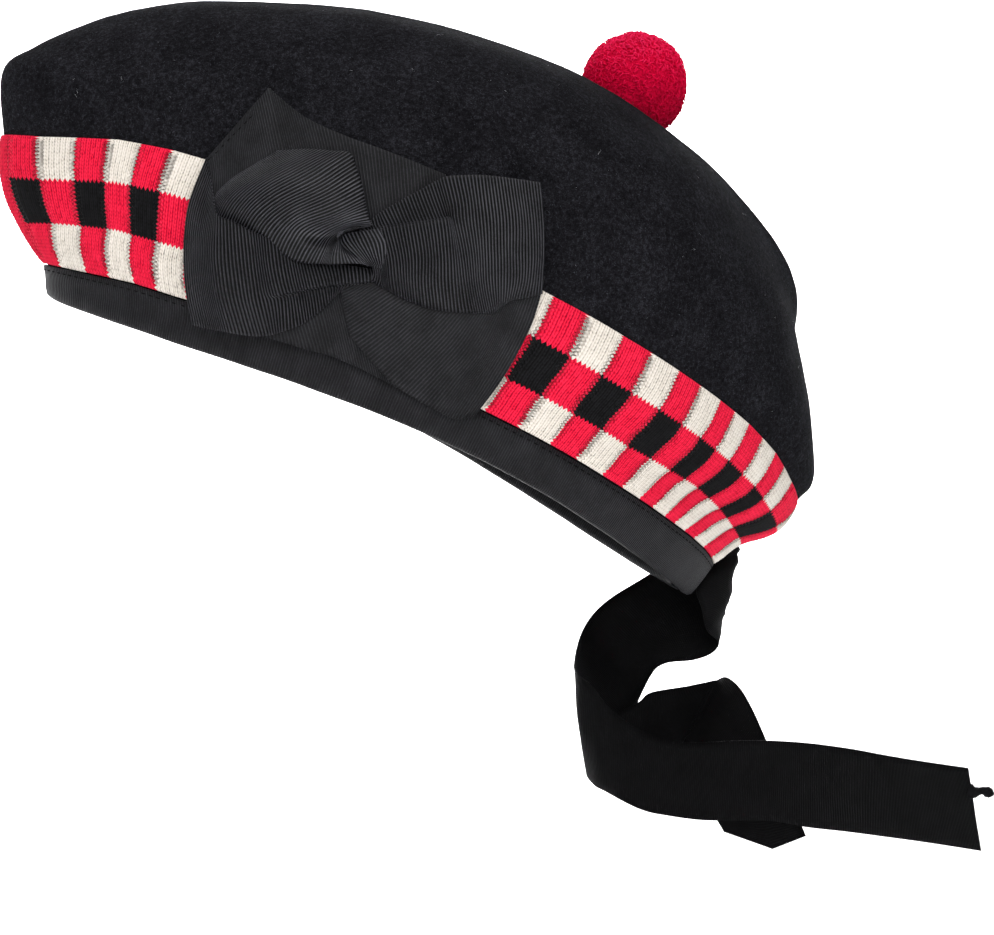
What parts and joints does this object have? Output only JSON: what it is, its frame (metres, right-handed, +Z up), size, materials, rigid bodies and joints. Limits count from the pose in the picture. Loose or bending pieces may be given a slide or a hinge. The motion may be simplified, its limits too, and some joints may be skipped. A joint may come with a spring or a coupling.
{
  "type": "glengarry",
  "caption": "Boat-shaped wool cap with a diced knitted band, bound rim, ribbon cockade on one side, wool toorie on top and two ribbon tails at the back",
  "frame": {"origin": "the centre of the head opening, in the plane of the rim's lower edge", "axes": "+Z up as worn, front of the cap at -X, back and tails at +X, wearer's left with the cockade at -Y"},
  "size_m": [0.339, 0.1593, 0.2914],
  "materials": {
    "felt": "milled black wool felt",
    "knit": "knitted wool in red, cream and black dicing",
    "grosgrain": "ribbed black ribbon",
    "toorie_wool": "red wool tufts",
    "tail_ribbon": "dull black ribbon"
  },
  "bodies": {
    "root": {"crown": "felt", "diced_band": "knit", "rim_binding": "grosgrain", "cockade_backing": "grosgrain", "cockade_left_lobe": "grosgrain", "cockade_upper_loop": "grosgrain", "cockade_right_wing": "grosgrain", "cockade_end_panel": "grosgrain", "cockade_knot": "grosgrain", "toorie": "toorie_wool", "tail_near": "tail_ribbon", "tail_far": "tail_ribbon"}
  },
  "joints": []
}
